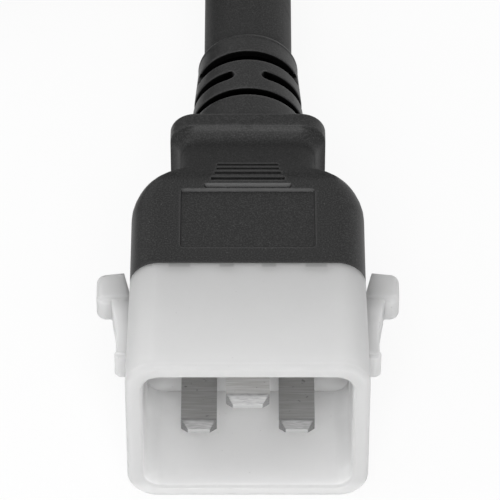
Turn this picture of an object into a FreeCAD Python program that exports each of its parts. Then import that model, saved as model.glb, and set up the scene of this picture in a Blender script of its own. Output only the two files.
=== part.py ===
import FreeCAD, Part
import math
import os
from FreeCAD import Vector

# A locking power cord: a flat-blade plug in a nylon shroud with two squeeze latches, a moulded grip,
# a coiled cable and the connector on its far end.
# Millimetres. +X is to the right, +Y runs back along the plug towards its cable, +Z is up.
# The origin lies on the resting surface, under the middle of the plug.
# Each end is built about its own axis, with Y counted back from its front, and is then put in place.

# Shroud of the plug, and the base and spigot that hold its blades
shroud_mouth_width = 32.0
shroud_height = 25.2
shroud_length = 19.0
shroud_side_draft = 0.3
shroud_corner = 4.0
shroud_wall = 2.2
base_thickness = 1.9
cavity_draft = 0.25
cavity_corner = 2.4
rim_round = 0.9
mouth_round = 0.5
spigot_length = 5.0
spigot_inset = 2.6

# Keys of the grip that lock into the seam with the shroud
key_depth = 0.9
key_skin = 0.5
key_thickness = 1.0
outer_key_width = 2.85
outer_key_offset = 9.05
inner_key_width = 1.9
inner_key_offset = 2.8

# Blades
blade_spacing = 13.0
blade_rise = 8.0
blade_thickness = 2.0
line_blade_width = 4.75
earth_blade_width = 5.7
line_blade_setback = 4.1
earth_blade_setback = 1.1
bevel_length = 1.35
bevel_side = 0.9
bevel_thickness = 0.7

# Crimp tails, and the insulated cores that they hold
tail_neck_length = 3.0
tail_neck_width = 3.0
barrel_length = 6.0
barrel_wall = 0.7
crimp_clearance = 0.05
core_diameter = 4.0
core_gap = 0.3
conductor_diameter = 2.4
strip_length = 5.0
core_straight = 2.5

# Latches at the sides of the shroud
latch_swing = 3.0
latch_clearance = 0.15
latch_height = 4.3
latch_pocket_depth = 1.05
latch_root_before_seam = 13.0
latch_root_round = 0.4
tongue_proud = 0.05
barb_before_seam = 7.1
barb_reach = 2.2
barb_length = 1.25
barb_round = 1.1
catch_step = 0.32
arm_bend_before_seam = 2.2
arm_reach = 2.6
arm_bend_radius = 3.0
arm_full_behind_seam = 2.7
arm_height = 3.9
tab_flare = 1.25
tab_behind_seam = 3.4
tab_reach = 4.75
tab_length = 5.6
tab_lap = 0.45
tab_fillet = 0.9
tab_slope = 0.5
tab_round = 1.3
tab_edge_round = 0.9
arm_edge_round = 0.3
catch_edge_round = 0.5

# Moulded grip: block, shoulders, neck, collar
block_straight = 11.75
shoulder_radius = 8.4
roll_start = 16.0
roll_radius = 6.0
roll_angle = 24.0
neck_half_width = 9.1
scoop_radius = 2.4
neck_corner = 2.6
collar_start = 30.2
collar_length = 2.4
collar_width = 21.5
collar_height = 18.6
collar_corner = 3.5
collar_round = 0.2
block_round = 0.2
shoulder_steps = 9
roll_steps = 3
scoop_steps = 8

# Strain relief behind the collar
relief_length = 19.2
relief_base_radius = 8.5
relief_end_radius = 7.05
relief_end_round = 1.0
relief_lip = 0.3
slot_first = 5.2
slot_pitch = 3.95
slot_width = 1.45
slot_width_gain = 0.3
slot_front_round = 0.12
slot_rear_round = 0.3
slot_overcut = 0.5
slot_bridge = 3.7

# Label panel and finger grooves on the top of the plug's block
panel_width = 17.8
panel_length = 10.9
panel_start = 3.1
panel_depth = 0.35
panel_corner = 0.4
groove_start = 15.25
groove_pitch = 1.36
groove_depth = 0.45
groove_corner = 0.05
cut_rise = 0.8
panel_lean = 0.45
groove_widths = (11.3, 9.8, 8.8, 8.3, 8.1)
groove_floors = (0.3, 0.5, 0.5, 0.5, 0.5)
groove_leans = (0.7, 0.25, 0.25, 0.25, 0.25)

# Connector on the far end
nose_fit = 0.3
nose_length = 17.4
nose_front_wall = 1.2
nose_round = 0.6
entry_clearance = 0.3
contact_wall = 0.5
contact_grip = 0.05
contact_length = 12.0
contact_pocket_clearance = 0.1

# Cable, coil and tie
cable_diameter = 12.5
cable_embed = 25.0
coil_diameter = 150.0
coil_centre_y = 142.0
mouth_distance = 35.75
coil_layers = 2
coil_columns = 2
connector_relief_y = 77.3
lead_level_y = 58.0
lead_slope_y = 98.0
lead_slope_height = 8.9
tail_level_y = 98.0
tail_slope_y = 120.0
tail_slope_height = 17.0
tie_width = 12.0
tie_thickness = 1.2
tie_round = 5.0
arc_share = 0.45

# Derived places
axis_height = shroud_height / 2
seam_half_width = shroud_mouth_width / 2 - shroud_side_draft
cavity_depth = shroud_length - base_thickness
cable_radius = cable_diameter / 2
grip_length = collar_start + collar_length + relief_length
plug_length = shroud_length + grip_length
connector_length = nose_length + grip_length
line_height = -blade_rise / 2
earth_height = blade_rise / 2
blade_half_spacing = blade_spacing / 2
core_ring = (core_diameter + core_gap) / math.sqrt(3)
latch_hinge = shroud_length - latch_root_before_seam + latch_root_round
coil_radius = coil_diameter / 2
coil_half_width = coil_columns * cable_radius
coil_height = coil_layers * cable_diameter
outer_turn = coil_radius + coil_half_width - cable_radius
top_turn_height = coil_height - cable_radius
coil_centre = Vector(-outer_turn, coil_centre_y, 0)
connector_x = -2 * outer_turn
plug_place = Vector(0, -mouth_distance, axis_height)
connector_place = Vector(connector_x, connector_relief_y - connector_length, axis_height)


def rounded_loop(corners):
    """Closed wire through (point, radius) corners; a radius of 0 leaves a corner sharp."""
    bends = []
    for index, (corner, radius) in enumerate(corners):
        toward = (corner - corners[index - 1][0]).normalize()
        away = (corners[(index + 1) % len(corners)][0] - corner).normalize()
        half_turn = toward.getAngle(away) / 2
        reach = radius * math.tan(half_turn)
        inward = (away - toward).normalize()
        middle = corner + inward * (radius / math.cos(half_turn) - radius)
        bends.append((corner - toward * reach, middle, corner + away * reach, radius))
    edges = []
    for index, (entry, middle, leave, radius) in enumerate(bends):
        if radius > 0:
            edges.append(Part.Arc(entry, middle, leave).toShape())
        edges.append(Part.LineSegment(leave, bends[(index + 1) % len(bends)][0]).toShape())
    return Part.Wire(edges)


def cross_section(half_width, half_height, radius, back, height=0.0, aside=0.0):
    """Rounded rectangle across an end's axis, at a distance behind its front."""
    signs = ((1, -1), (1, 1), (-1, 1), (-1, -1))
    points = [Vector(aside + sx * half_width, back, height + sz * half_height) for sx, sz in signs]
    return rounded_loop([(point, radius) for point in points])


def plan_prism(corners, half_height):
    """Solid of a plan outline of (x, y, radius) corners, as far above the axis as below it."""
    loop = rounded_loop([(Vector(x, y, -half_height), radius) for x, y, radius in corners])
    return Part.Face(loop).extrude(Vector(0, 0, 2 * half_height))


def block(width, front, back, low, high, aside=0.0):
    """Box centred on a sideways place, between two distances behind the front and two heights."""
    corner = Vector(aside - width / 2, front, low)
    return Part.makeBox(width, back - front, high - low, corner)


def rod(diameter, front, back, aside=0.0, height=0.0):
    """Round bar along the axis."""
    return Part.makeCylinder(diameter / 2, back - front, Vector(aside, front, height), Vector(0, 1, 0))


def bent_path(points):
    """Wire of straight runs with the largest tangent arcs they leave room for, and the arcs' radii."""
    edges = []
    radii = []
    start = points[0]
    for before, corner, after in zip(points, points[1:], points[2:]):
        reach = arc_share * min((corner - before).Length, (after - corner).Length)
        toward = (corner - before).normalize()
        away = (after - corner).normalize()
        half_turn = toward.getAngle(away) / 2
        radius = reach / math.tan(half_turn)
        inward = (away - toward).normalize()
        entry = corner - toward * reach
        leave = corner + away * reach
        middle = corner + inward * (radius / math.cos(half_turn) - radius)
        edges.append(Part.LineSegment(start, entry).toShape())
        edges.append(Part.Arc(entry, middle, leave).toShape())
        radii.append(radius)
        start = leave
    edges.append(Part.LineSegment(start, points[-1]).toShape())
    return Part.Wire(edges), radii


def tube(name, points, diameter):
    """Round solid along a bent path; prints its bend radii and how its volume compares."""
    path, radii = bent_path(points)
    circle = Part.makeCircle(diameter / 2, points[0], points[1] - points[0])
    solid = path.makePipeShell([Part.Wire(circle)], True, False)
    expected = math.pi * diameter ** 2 / 4 * path.Length
    rounded = [round(radius, 1) for radius in radii]
    print(f"{name}: length {path.Length:.1f}, radii {rounded}, volume ratio {solid.Volume / expected:.4f}")
    return solid


def edges_at(shape, back):
    """Edges that lie across the axis at a distance behind the front."""
    return [edge for edge in shape.Edges
            if max(abs(edge.BoundBox.YMin - back), abs(edge.BoundBox.YMax - back)) < 1e-3]


def edges_near_axis(edges, half_width, half_height):
    """Those edges whose middles keep within a reach of the axis."""
    return [edge for edge in edges
            if abs(edge.CenterOfMass.x) < half_width and abs(edge.CenterOfMass.z) < half_height]


def flat_edges(shape, height):
    """Edges of a prism's top and bottom faces, at a height above and below the axis."""
    return [edge for edge in shape.Edges
            if max(abs(abs(edge.BoundBox.ZMin) - height), abs(abs(edge.BoundBox.ZMax) - height)) < 1e-3]


def three_places():
    """Name, sideways place, height, blade width and setback of each pole, as seen from the front."""
    return (("line", -blade_half_spacing, line_height, line_blade_width, line_blade_setback),
            ("neutral", blade_half_spacing, line_height, line_blade_width, line_blade_setback),
            ("earth", 0.0, earth_height, earth_blade_width, earth_blade_setback))


def core_place(pole):
    """Where a pole's core lies in the cable, as (sideways, height)."""
    degrees = {"earth": 90, "line": 210, "neutral": 330}[pole]
    turn = math.radians(degrees)
    return core_ring * math.cos(turn), core_ring * math.sin(turn)


def seam_keys():
    """Small keys of the grip under the top and bottom skins of the shroud's rear edge."""
    keys = []
    for width, offset in ((outer_key_width, outer_key_offset), (inner_key_width, inner_key_offset)):
        for side in (-offset, offset):
            high = axis_height - key_skin
            low = high - key_thickness
            keys.append(block(width, shroud_length - key_depth, shroud_length, low, high, side))
            keys.append(block(width, shroud_length - key_depth, shroud_length, -high, -low, side))
    return keys


def latch_pocket(side):
    """Recess along one side of the shroud and of the grip that the latch swings into."""
    floor = seam_half_width - latch_pocket_depth
    front = shroud_length - latch_root_before_seam - latch_clearance
    back = shroud_length + tab_behind_seam + tab_length + 3 * latch_clearance
    half_height = latch_height / 2 + latch_clearance
    reach = barb_reach + latch_pocket_depth
    middle = side * (floor + reach / 2)
    return block(reach, front, back, -half_height, half_height, middle)


def spigot(front):
    """Reduced rear end of an insert, which the grip is moulded round."""
    half_width = seam_half_width - spigot_inset
    half_height = axis_height - spigot_inset
    corner = shroud_corner - spigot_inset
    face = Part.Face(cross_section(half_width, half_height, corner, front))
    return face.extrude(Vector(0, spigot_length, 0))


def make_shroud():
    """White insert: drafted shroud, base, spigot, blade slots, key seats and latch pockets."""
    mouth = cross_section(shroud_mouth_width / 2, axis_height, shroud_corner, 0)
    seam = cross_section(seam_half_width, axis_height, shroud_corner, shroud_length)
    cup = Part.makeLoft([mouth, seam], True, True)
    cup = cup.makeFillet(rim_round, edges_at(cup, 0))
    cavity_width = shroud_mouth_width / 2 - shroud_wall
    cavity_height = axis_height - shroud_wall
    front = cross_section(cavity_width, cavity_height, cavity_corner, 0)
    rear = cross_section(cavity_width - cavity_draft, cavity_height - cavity_draft,
                         cavity_corner - cavity_draft, cavity_depth)
    cup = cup.cut(Part.makeLoft([front, rear], True, True))
    lip = mouth_round / 2
    inner_rim = edges_near_axis(edges_at(cup, 0), cavity_width + lip, cavity_height + lip)
    cup = cup.makeFillet(mouth_round, inner_rim)
    cup = cup.cut([latch_pocket(-1), latch_pocket(1)] + seam_keys())
    insert = cup.fuse(spigot(shroud_length))
    tail_start = shroud_length + spigot_length
    half = blade_thickness / 2
    slots = [block(width, cavity_depth, tail_start, height - half, height + half, aside)
             for pole, aside, height, width, setback in three_places()]
    return insert.cut(slots).removeSplitter()


def crimp_tail(front, aside, height):
    """Flat neck and hollow crimp barrel behind a blade or a contact."""
    half = blade_thickness / 2
    barrel_front = front + tail_neck_length
    barrel_end = barrel_front + barrel_length
    bore = conductor_diameter + 2 * crimp_clearance
    neck = block(tail_neck_width, front, barrel_front, height - half, height + half, aside)
    barrel = rod(bore + 2 * barrel_wall, barrel_front, barrel_end, aside, height)
    hole = rod(bore, barrel_end - strip_length - crimp_clearance, barrel_end, aside, height)
    return neck.fuse(barrel).cut(hole)


def make_blade(aside, height, width, setback):
    """Flat blade with a tip bevelled on all four sides, and its crimp tail."""
    half = blade_thickness / 2
    tip_end = setback + bevel_length
    tail_start = shroud_length + spigot_length
    tip = cross_section(width / 2 - bevel_side, half - bevel_thickness, 0, setback, height, aside)
    full = cross_section(width / 2, half, 0, tip_end, height, aside)
    bevel = Part.makeLoft([tip, full], True, True)
    blade = block(width, tip_end, tail_start, height - half, height + half, aside)
    return bevel.fuse([blade, crimp_tail(tail_start, aside, height)]).removeSplitter()


def make_contact(aside, height, width):
    """Folded sleeve that grips a blade, with a strip through the core and its crimp tail."""
    half = blade_thickness / 2
    inner_width = width + 2 * contact_grip
    inner_half = half + contact_grip
    outer_half = inner_half + contact_wall
    front = nose_front_wall + contact_pocket_clearance
    sleeve_end = front + contact_length
    tail_start = nose_length + spigot_length
    sleeve = block(inner_width + 2 * contact_wall, front, sleeve_end,
                   height - outer_half, height + outer_half, aside)
    closed_end = sleeve_end - contact_wall
    opening = block(inner_width, front, closed_end, height - inner_half, height + inner_half, aside)
    seam = block(contact_wall, front, closed_end, height, height + outer_half, aside)
    strip = block(tail_neck_width, sleeve_end, tail_start, height - half, height + half, aside)
    tail = crimp_tail(tail_start, aside, height)
    return sleeve.cut([opening, seam]).fuse([strip, tail]).removeSplitter()


def make_connector_core():
    """Nose of the connector, with a blade entry and a contact pocket for each pole."""
    half_width = shroud_mouth_width / 2 - shroud_wall - cavity_draft - nose_fit
    half_height = axis_height - shroud_wall - cavity_draft - nose_fit
    face = Part.Face(cross_section(half_width, half_height, cavity_corner, 0))
    nose = face.extrude(Vector(0, nose_length, 0))
    nose = nose.makeFillet(nose_round, edges_at(nose, 0))
    core = nose.fuse(spigot(nose_length))
    cuts = []
    for pole, aside, height, width, setback in three_places():
        half = blade_thickness / 2
        entry_half = half + entry_clearance
        pocket_half = half + contact_grip + contact_wall + contact_pocket_clearance
        pocket_width = width + 2 * (contact_grip + contact_wall + contact_pocket_clearance)
        pocket_end = nose_front_wall + contact_length + 2 * contact_pocket_clearance
        entry_width = width + 2 * entry_clearance
        cuts.append(block(entry_width, 0, nose_front_wall, height - entry_half, height + entry_half, aside))
        cuts.append(block(pocket_width, nose_front_wall, pocket_end, height - pocket_half,
                          height + pocket_half, aside))
        cuts.append(block(tail_neck_width, pocket_end, nose_length + spigot_length, height - half,
                          height + half, aside))
    return core.cut(cuts).removeSplitter()


def make_core_wire(name, pole, aside, height, tail_start, sheath_end):
    """Insulated core from a crimp barrel to the end of the cable's sheath, with its bared conductor."""
    barrel_end = tail_start + tail_neck_length + barrel_length
    core_x, core_z = core_place(pole)
    points = [Vector(aside, barrel_end, height),
              Vector(aside, barrel_end + core_straight, height),
              Vector(core_x, sheath_end - core_straight, core_z),
              Vector(core_x, sheath_end, core_z)]
    insulation = tube(name, points, core_diameter)
    return insulation.fuse(rod(conductor_diameter, barrel_end - strip_length, barrel_end, aside, height))


def block_half_width(back):
    """Half width of the grip at a distance behind its front: straight sides, then the round shoulder."""
    run = back - block_straight
    if run <= 0:
        return seam_half_width
    drop = shoulder_radius
    if run < shoulder_radius:
        drop = shoulder_radius - math.sqrt(shoulder_radius ** 2 - run ** 2)
    return max(seam_half_width - drop, neck_half_width)


def block_half_height(back):
    """Half height of the grip: flat, rolled over, then a straight slope down to the neck's end."""
    run = back - roll_start
    slope = math.radians(roll_angle)
    roll_run = roll_radius * math.sin(slope)
    if run <= 0:
        return axis_height
    if run <= roll_run:
        return axis_height - roll_radius + math.sqrt(roll_radius ** 2 - run ** 2)
    roll_drop = roll_radius * (1 - math.cos(slope))
    return axis_height - roll_drop - (run - roll_run) * math.tan(slope)


def grip_section(front, back):
    """Cross-section of the block or neck at a distance behind the grip's front."""
    half_width = block_half_width(back)
    share = (half_width - neck_half_width) / (seam_half_width - neck_half_width)
    corner = neck_corner + (shroud_corner - neck_corner) * share
    return cross_section(half_width, block_half_height(back), corner, front + back)


def scoop_start():
    """Where the sloping top meets, at a tangent, the round hollow that ends at the collar's front edge."""
    slope = math.radians(roll_angle)
    edge_height = collar_height / 2 - collar_round
    above = (edge_height - block_half_height(collar_start)) * math.cos(slope)
    along = math.sqrt(2 * scoop_radius * above - above ** 2)
    return collar_start - above * math.sin(slope) - along * math.cos(slope)


def grip_stations():
    """Distances behind the grip's front at which its shoulders and neck are drawn."""
    shoulder_end = math.acos(1 - (seam_half_width - neck_half_width) / shoulder_radius)
    turns = [shoulder_end * step / shoulder_steps for step in range(1, shoulder_steps + 1)]
    stations = [block_straight + shoulder_radius * math.sin(turn) for turn in turns]
    roll_turns = [math.radians(roll_angle) * step / roll_steps for step in range(roll_steps + 1)]
    stations += [roll_start + roll_radius * math.sin(turn) for turn in roll_turns]
    return sorted([block_straight, scoop_start()] + stations)


def collar_section(front, back, inset):
    """Cross-section of the collar, drawn in by an inset where its edges are rounded."""
    half_width = collar_width / 2 - inset
    half_height = collar_height / 2 - inset
    return cross_section(half_width, half_height, collar_corner - inset, front + back)


def scoop_sections(front):
    """Cross-sections of the hollow between the neck and the collar's front edge."""
    slope = math.radians(roll_angle)
    start = scoop_start()
    run = collar_start - start
    centre = start + scoop_radius * math.sin(slope)
    centre_height = block_half_height(start) + scoop_radius * math.cos(slope)
    flare = collar_width / 2 - collar_round - neck_half_width
    side_radius = (run ** 2 + flare ** 2) / (2 * flare)
    sections = []
    for step in range(scoop_steps):
        back = start + run * step / scoop_steps
        half_height = centre_height - math.sqrt(scoop_radius ** 2 - (back - centre) ** 2)
        half_width = neck_half_width + side_radius - math.sqrt(side_radius ** 2 - (back - start) ** 2)
        corner = neck_corner + (collar_corner - collar_round - neck_corner) * step / scoop_steps
        sections.append(cross_section(half_width, half_height, corner, front + back))
    return sections


def make_collar(front):
    """Hollow that rises from the neck, and the collar with its rounded edges."""
    sections = scoop_sections(front)
    turns = [math.radians(degrees) for degrees in (0, 30, 60, 90)]
    rounds = [(collar_round * (1 - math.cos(turn)), collar_round * (1 - math.sin(turn))) for turn in turns]
    for run, inset in rounds:
        sections.append(collar_section(front, collar_start + run, inset))
    for run, inset in reversed(rounds):
        sections.append(collar_section(front, collar_start + collar_length - run, inset))
    return Part.makeLoft(sections, True, True)


def relief_cone(front):
    """Tapered strain relief with a rounded rear end, turned about the cable's axis."""
    end = front + relief_length
    lip_radius = cable_radius + relief_lip
    shoulder = Vector(relief_end_radius, end - relief_end_round, 0)
    lip = Vector(lip_radius, end, 0)
    bulge_radius = (relief_end_radius + lip_radius) / 2 + relief_end_round / 5
    bulge = Vector(bulge_radius, end - relief_end_round / 3, 0)
    profile = [Part.LineSegment(Vector(0, front, 0), Vector(relief_base_radius, front, 0)).toShape(),
               Part.LineSegment(Vector(relief_base_radius, front, 0), shoulder).toShape(),
               Part.Arc(shoulder, bulge, lip).toShape(),
               Part.LineSegment(lip, Vector(0, end, 0)).toShape(),
               Part.LineSegment(Vector(0, end, 0), Vector(0, front, 0)).toShape()]
    return Part.Face(Part.Wire(profile)).revolve(Vector(0, 0, 0), Vector(0, 1, 0), 360)


def relief_radius(run):
    """Outer radius of the strain relief at a distance behind the collar."""
    taper = (relief_base_radius - relief_end_radius) / (relief_length - relief_end_round)
    return relief_base_radius - taper * run


def slot_ring(front, start, end):
    """Cut for a slot all the way round: straight walls that roll over on to the outside of the relief."""
    bottom = cable_radius - slot_overcut
    outside = 2 * relief_base_radius
    near_edge = start - slot_front_round
    far_edge = end + slot_rear_round
    near_lean = slot_front_round * math.sqrt(0.5)
    far_lean = slot_rear_round * math.sqrt(0.5)
    near = relief_radius(near_edge) - slot_front_round
    far = relief_radius(far_edge) - slot_rear_round
    near_wall = Vector(near, front + start, 0)
    near_lip = Vector(near + slot_front_round, front + near_edge, 0)
    near_middle = Vector(near + near_lean, front + near_edge + near_lean, 0)
    far_wall = Vector(far, front + end, 0)
    far_lip = Vector(far + slot_rear_round, front + far_edge, 0)
    far_middle = Vector(far + far_lean, front + far_edge - far_lean, 0)
    near_bottom = Vector(bottom, front + start, 0)
    far_bottom = Vector(bottom, front + end, 0)
    near_outside = Vector(outside, front + near_edge, 0)
    far_outside = Vector(outside, front + far_edge, 0)
    profile = [Part.LineSegment(near_bottom, near_wall).toShape(),
               Part.Arc(near_wall, near_middle, near_lip).toShape(),
               Part.LineSegment(near_lip, near_outside).toShape(),
               Part.LineSegment(near_outside, far_outside).toShape(),
               Part.LineSegment(far_outside, far_lip).toShape(),
               Part.Arc(far_lip, far_middle, far_wall).toShape(),
               Part.LineSegment(far_wall, far_bottom).toShape(),
               Part.LineSegment(far_bottom, near_bottom).toShape()]
    return Part.Face(Part.Wire(profile)).revolve(Vector(0, 0, 0), Vector(0, 1, 0), 360)


def relief_slots(front):
    """Rows of flexing slots with round ends; the bridges between them change sides from row to row."""
    outside = 2 * relief_base_radius
    slots = []
    for row in range(3):
        width = slot_width + row * slot_width_gain
        start = slot_first + row * slot_pitch
        end = start + width
        middle = front + (start + end) / 2
        half_bridge = (slot_bridge + width) / 2
        across = Vector(0, 0, 1) if row % 2 else Vector(1, 0, 0)
        aside = Vector(1, 0, 0) if row % 2 else Vector(0, 0, 1)
        bridge = block(2 * half_bridge, front, front + relief_length, -outside, outside)
        if not row % 2:
            bridge = block(2 * outside, front, front + relief_length, -half_bridge, half_bridge)
        slots.append(slot_ring(front, start, end).cut(bridge))
        for side in (-half_bridge, half_bridge):
            foot = Vector(0, middle, 0) + aside * side - across * outside
            slots.append(Part.makeCylinder(width / 2, 2 * outside, foot, across))
    return slots


def make_grip(front, insides):
    """Black grip with shoulders, neck, collar and slotted strain relief, moulded round its insides."""
    body = Part.Face(grip_section(front, 0)).extrude(Vector(0, block_straight, 0))
    body = body.makeFillet(block_round, edges_at(body, front))
    shoulders = Part.makeLoft([grip_section(front, back) for back in grip_stations()], True, True)
    collar_back = front + collar_start + collar_length
    body = body.fuse([shoulders, make_collar(front), relief_cone(collar_back)]).removeSplitter()
    return body.cut(relief_slots(collar_back)).cut(insides)


def sloping_cut(half_width, half_length, corner, middle, floor, lean):
    """Cut with walls that lean outwards, down to a floor at a height above the axis."""
    loops = []
    for rise in (0.0, cut_rise):
        spread = rise * lean
        x = half_width + spread
        y = half_length + spread
        points = [Vector(-x, middle - y, floor + rise), Vector(x, middle - y, floor + rise),
                  Vector(x, middle + y, floor + rise), Vector(-x, middle + y, floor + rise)]
        loops.append(rounded_loop([(point, corner + spread) for point in points]))
    return Part.makeLoft(loops, True, True)


def panel_and_grooves(front):
    """Recess for a rating panel, and the finger grooves that narrow towards the neck."""
    panel_middle = front + panel_start + panel_length / 2
    panel_floor = axis_height - panel_depth
    cuts = [sloping_cut(panel_width / 2, panel_length / 2, panel_corner, panel_middle, panel_floor,
                        panel_lean)]
    for row, (width, length, lean) in enumerate(zip(groove_widths, groove_floors, groove_leans)):
        rear_lip = groove_start + row * groove_pitch
        floor = block_half_height(rear_lip) - groove_depth
        middle = front + rear_lip - groove_depth * lean - length / 2
        cuts.append(sloping_cut(width / 2, length / 2, groove_corner, middle, floor, lean))
    return cuts


def make_latch():
    """Right-hand latch: thin tongue in its pocket, catch barb, cranked arm and raised finger tab."""
    side = seam_half_width
    lean = math.tan(math.radians(latch_swing))
    root = shroud_length - latch_root_before_seam
    barb = shroud_length - barb_before_seam
    bend = shroud_length - arm_bend_before_seam
    arm_full = shroud_length + arm_full_behind_seam
    tab = shroud_length + tab_behind_seam
    tab_end = tab + tab_length

    def clear_of(surface, back):
        """Inner face of the latch: it just clears a surface when the latch is squeezed home."""
        return surface + latch_clearance + (back - latch_hinge) * lean

    floor = side - latch_pocket_depth
    arm_front = side + barb_reach - catch_step
    arm_rear = side + arm_reach
    tab_outer = side + tab_reach
    inner = clear_of(floor, tab)
    arm = plan_prism([
        (side + tongue_proud, root, latch_root_round), (side + tongue_proud, barb, barb_round / 3),
        (arm_front, barb, barb_round), (arm_front, bend, arm_bend_radius),
        (arm_rear, arm_full, arm_bend_radius), (arm_rear, tab + tab_lap, tab_fillet),
        (tab_outer - tab_fillet, tab + tab_lap, 0), (tab_outer - tab_fillet, tab + 2 * tab_fillet, 0),
        (inner + tab_fillet, tab + 2 * tab_fillet, 0), (inner, tab, 0),
        (clear_of(floor, root), root, latch_root_round)], arm_height / 2)
    catch = plan_prism([
        (side + tongue_proud, barb, 0), (side + barb_reach, barb, barb_round),
        (side + barb_reach, barb + barb_length, 0), (side + tongue_proud, barb + barb_length, 0)],
        latch_height / 2)
    finger = plan_prism([
        (inner, tab, 0), (tab_outer, tab, tab_round),
        (tab_outer, tab_end - tab_slope, tab_round), (inner + tab_flare, tab_end, 0)], latch_height / 2)
    arm = arm.makeFillet(arm_edge_round, flat_edges(arm, arm_height / 2))
    outer_edges = [edge for edge in flat_edges(finger, latch_height / 2)
                   if edge.CenterOfMass.x > inner + tab_flare]
    finger = finger.makeFillet(tab_edge_round, outer_edges)
    catch = catch.makeFillet(catch_edge_round, flat_edges(catch, latch_height / 2))
    return arm.fuse([catch, finger]).removeSplitter()


def make_coil():
    """Outer shape of the coiled turns: a ring of rounded-square section, lying flat."""
    section = [(Vector(coil_radius - coil_half_width, 0, 0), cable_radius),
               (Vector(coil_radius + coil_half_width, 0, 0), cable_radius),
               (Vector(coil_radius + coil_half_width, 0, coil_height), cable_radius),
               (Vector(coil_radius - coil_half_width, 0, coil_height), cable_radius)]
    ring = Part.Face(rounded_loop(section)).revolve(Vector(0, 0, 0), Vector(0, 0, 1), 360)
    ring.translate(coil_centre)
    return ring


def make_tie():
    """Flat strap round the bundle of turns, at the side of the coil away from the plug."""
    middle = coil_radius
    loops = []
    for grow, low in ((0.0, tie_thickness), (tie_thickness, 0.0)):
        half = coil_half_width + grow
        high = coil_height + tie_thickness + grow
        corner = tie_round + grow
        corners = [(Vector(0, middle - half, low), corner), (Vector(0, middle + half, low), corner),
                   (Vector(0, middle + half, high), corner), (Vector(0, middle - half, high), corner)]
        loops.append(Part.Face(rounded_loop(corners)).extrude(Vector(tie_width, 0, 0)))
    tie = loops[1].cut(loops[0])
    tie.translate(coil_centre + Vector(-tie_width / 2, 0, 0))
    return tie


def end_pieces(front, names, terminals):
    """Cores and the cable bore of one end, as named solids about its own axis."""
    tail_start = front + spigot_length
    sheath_end = front + grip_length - cable_embed
    wires = {}
    for (pole, aside, height, width, setback), name in zip(three_places(), names):
        wires[name] = make_core_wire(name, pole, aside, height, tail_start, sheath_end)
    bore = rod(cable_diameter, sheath_end, front + grip_length)
    filled = [rod(conductor_diameter + 2 * crimp_clearance, tail_start + tail_neck_length,
                  tail_start + tail_neck_length + barrel_length, aside, height)
              for pole, aside, height, width, setback in three_places()]
    insides = [spigot(front), bore] + list(wires.values()) + terminals + filled
    return wires, insides


def plug_nodes():
    """Every piece of the plug about its own axis."""
    blades = {f"{pole}_blade": make_blade(aside, height, width, setback)
              for pole, aside, height, width, setback in three_places()}
    names = [f"plug_{pole}_core" for pole, *rest in three_places()]
    wires, insides = end_pieces(shroud_length, names, list(blades.values()))
    grip = make_grip(shroud_length, insides).cut(panel_and_grooves(shroud_length))
    grip = grip.cut([latch_pocket(-1), latch_pocket(1)]).fuse(seam_keys())
    latch = make_latch()
    return {"shroud_insert": make_shroud(), "plug_grip": grip.removeSplitter(), **blades, **wires,
            "latch_right": latch, "latch_left": latch.mirror(Vector(0, 0, 0), Vector(1, 0, 0))}


def connector_nodes():
    """Every piece of the far-end connector about its own axis."""
    contacts = {f"{pole}_contact": make_contact(aside, height, width)
                for pole, aside, height, width, setback in three_places()}
    names = [f"connector_{pole}_core" for pole, *rest in three_places()]
    wires, insides = end_pieces(nose_length, names, list(contacts.values()))
    return {"connector_core": make_connector_core(), "connector_grip": make_grip(nose_length, insides),
            **contacts, **wires}


def cable_nodes():
    """Cable from the plug to the coil, the coil, its tie, and the cable from the coil to the connector."""
    plug_sheath = plug_place + Vector(0, plug_length - cable_embed, 0)
    connector_sheath = connector_place + Vector(0, connector_length - cable_embed, 0)
    lead = [plug_sheath,
            Vector(0, lead_level_y, axis_height),
            Vector(0, lead_slope_y, lead_slope_height),
            Vector(0, coil_centre_y, cable_radius)]
    tail = [Vector(connector_x, coil_centre_y, top_turn_height),
            Vector(connector_x, tail_slope_y, tail_slope_height),
            Vector(connector_x, tail_level_y, axis_height),
            connector_sheath]
    tie = make_tie()
    return {"cable_lead": tube("cable_lead", lead, cable_diameter), "cable_coil": make_coil().cut(tie),
            "coil_tie": tie, "cable_tail": tube("cable_tail", tail, cable_diameter)}


def main():
    """Builds every piece, puts it in place and writes it out."""
    os.makedirs("parts", exist_ok=True)
    nodes = {}
    for pieces, place in ((plug_nodes(), plug_place), (connector_nodes(), connector_place)):
        for name, shape in pieces.items():
            shape.translate(place)
            nodes[name] = shape
    nodes.update(cable_nodes())
    for name, shape in nodes.items():
        if not shape.isValid() or len(shape.Solids) != 1:
            print(f"{name}: valid {shape.isValid()}, solids {len(shape.Solids)}")
        shape.exportStep(f"parts/{name}.step")
    print(f"{len(nodes)} pieces, plug length {plug_length:.2f}")


main()
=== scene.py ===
"""Dresses the locking power cord: nylon shroud and latches, vinyl grips, plated blades, coiled cable."""
import logging
import math
from abc import ABC, abstractmethod
from dataclasses import dataclass, field
from enum import Enum

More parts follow.
